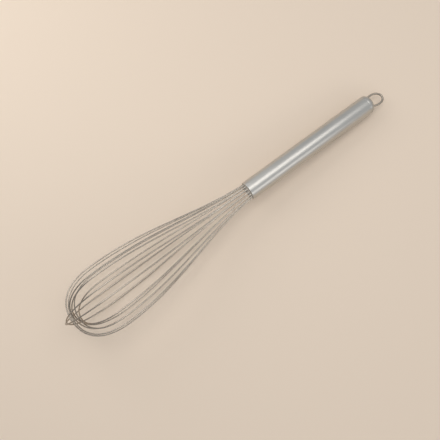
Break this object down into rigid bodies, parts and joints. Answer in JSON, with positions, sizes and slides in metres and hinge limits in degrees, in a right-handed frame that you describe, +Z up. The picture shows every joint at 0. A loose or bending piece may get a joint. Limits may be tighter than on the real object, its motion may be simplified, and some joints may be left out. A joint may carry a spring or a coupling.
{
  "type": "balloon whisk",
  "caption": "Balloon whisk for the kitchen: a cage of nested spring wire loops set in a steel tube handle, with a domed end cap and a wire hanging loop.",
  "frame": {"origin": "on the table, under the middle of the whisk as it lies", "axes": "+X along the whisk's shadow from the hanging loop to the tip, +Z up from the table; the axis of the whisk itself climbs about 4.4 degrees towards the tip, because it lies on its belly and on the heel of its handle"},
  "size_m": [0.2976, 0.052, 0.0523],
  "materials": {
    "tube_steel": "satin, brushed along the handle",
    "cap_steel": "satin",
    "hanger_steel": "bright drawn wire",
    "wire_steel": "bright drawn spring wire",
    "core_nylon": "moulded, matt",
    "seal_resin": "cast grey resin, dull gloss"
  },
  "bodies": {
    "root": {"handle_tube": "tube_steel", "end_cap": "cap_steel", "hanging_loop": "hanger_steel", "wire_core": "core_nylon", "mouth_seal": "seal_resin", "wire_loop_1": "wire_steel", "wire_loop_2": "wire_steel", "wire_loop_3": "wire_steel", "wire_loop_4": "wire_steel", "wire_loop_5": "wire_steel", "wire_loop_6": "wire_steel", "wire_loop_7": "wire_steel", "wire_loop_8": "wire_steel"}
  },
  "joints": []
}
